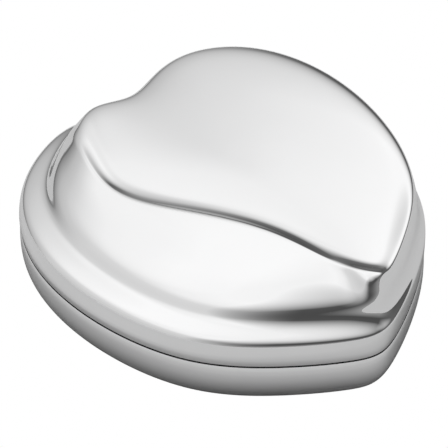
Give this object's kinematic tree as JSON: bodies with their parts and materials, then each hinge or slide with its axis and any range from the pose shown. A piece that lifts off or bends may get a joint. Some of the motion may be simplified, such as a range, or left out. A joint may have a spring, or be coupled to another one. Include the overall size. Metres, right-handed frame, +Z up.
{
  "type": "heart-shaped trinket box",
  "caption": "Polished metal heart-shaped trinket box: shallow velvet-lined tray and a hinged domed lid with an S-shaped fold across its top.",
  "frame": {"origin": "centre of the footprint, on the surface that the box stands on", "axes": "+Z up; +Y from the heart's point towards the cleft and the hinge; +X towards the side with the narrow step"},
  "size_m": [0.0899, 0.1049, 0.0341],
  "materials": {
    "polished_metal": "mirror polished, bright neutral silver",
    "satin_steel": "satin",
    "charcoal_velvet": "soft short-pile velvet",
    "black_felt": "pressed felt"
  },
  "bodies": {
    "base": {"base_shell": "polished_metal", "locating_collar": "satin_steel", "wall_lining": "charcoal_velvet", "floor_cushion": "charcoal_velvet", "felt_pad": "black_felt", "base_hinge_leaf": "satin_steel", "hinge_pin": "satin_steel"},
    "lid": {"lid_shell": "polished_metal", "lid_hinge_leaf": "satin_steel", "lid_cushion": "charcoal_velvet"}
  },
  "joints": [
    {"name": "lid_hinge", "type": "hinge", "parent": "base", "child": "lid", "pos_m": [0, 0.05105, 0.01425], "axis": [-1, 0, 0], "range_deg": [0, 100]}
  ]
}
